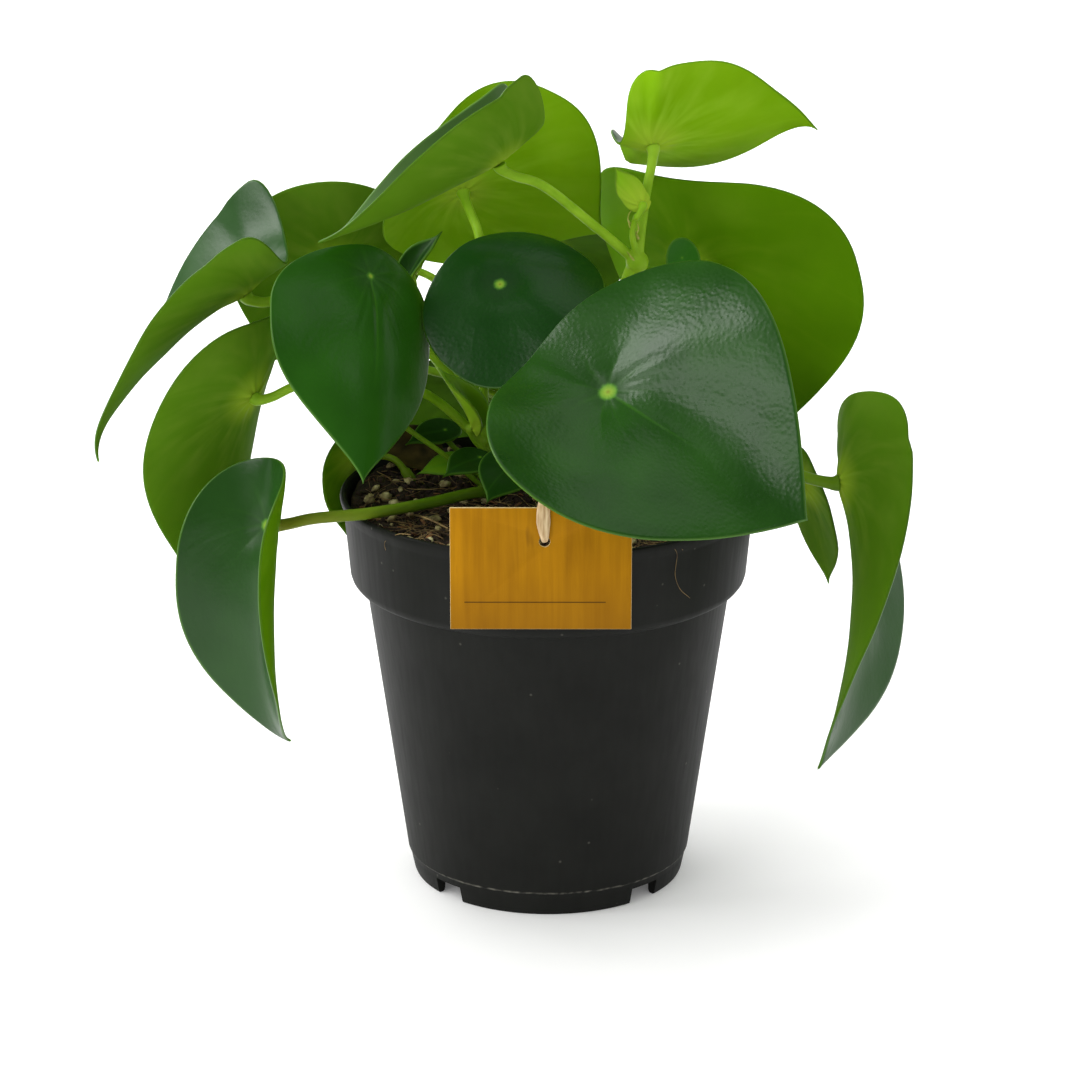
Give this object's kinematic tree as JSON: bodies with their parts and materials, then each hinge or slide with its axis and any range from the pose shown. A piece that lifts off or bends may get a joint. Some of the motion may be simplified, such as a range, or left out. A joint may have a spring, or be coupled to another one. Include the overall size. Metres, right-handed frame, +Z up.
{
  "type": "potted peperomia",
  "caption": "Young peperomia with large drooping shield-shaped leaves on thin stalks, in a round black nursery pot full of soil, with a care label hung at the lip.",
  "frame": {"origin": "on the floor under the middle of the overall box; the pot's own axis stands 12 mm to +X and 4.5 mm to -Y of it", "axes": "+Z up; -Y towards the viewer, the side that the care label faces; +X to the viewer's right"},
  "size_m": [0.2331, 0.1994, 0.2397],
  "materials": {
    "pot": "satin",
    "soil": "matte",
    "stalk": "satin",
    "leaf": "gloss",
    "leaf_young": "satin",
    "card": "matte",
    "ribbon": "satin"
  },
  "bodies": {
    "root": {"pot": "pot", "soil": "soil", "stem_centre": "stalk", "stem_left": "stalk", "stem_right": "stalk", "stem_rim": "stalk", "stem_rear": "stalk", "leaf_front": "leaf", "leaf_right": "leaf", "leaf_hanging_right": "leaf", "leaf_top_round": "leaf", "leaf_upper_left": "leaf", "leaf_left": "leaf", "leaf_lower_left": "leaf", "leaf_back_of_left": "leaf", "leaf_front_left": "leaf", "leaf_front_round": "leaf", "leaf_top_left": "leaf", "leaf_top_right": "leaf", "leaf_small_right": "leaf", "leaf_small_left": "leaf", "leaf_narrow": "leaf", "leaf_young_top": "leaf_young", "leaf_young_right": "leaf", "leaf_young_centre": "leaf_young", "leaf_low_round": "leaf", "leaf_low_dark": "leaf", "leaf_low_pale": "leaf_young", "leaf_low_hidden": "leaf", "leaf_low_front": "leaf", "leaf_rear_left": "leaf", "leaf_rear_centre": "leaf", "leaf_rear_right": "leaf", "leaf_rear_low": "leaf", "label_card": "card", "label_ribbon": "ribbon"}
  },
  "joints": []
}
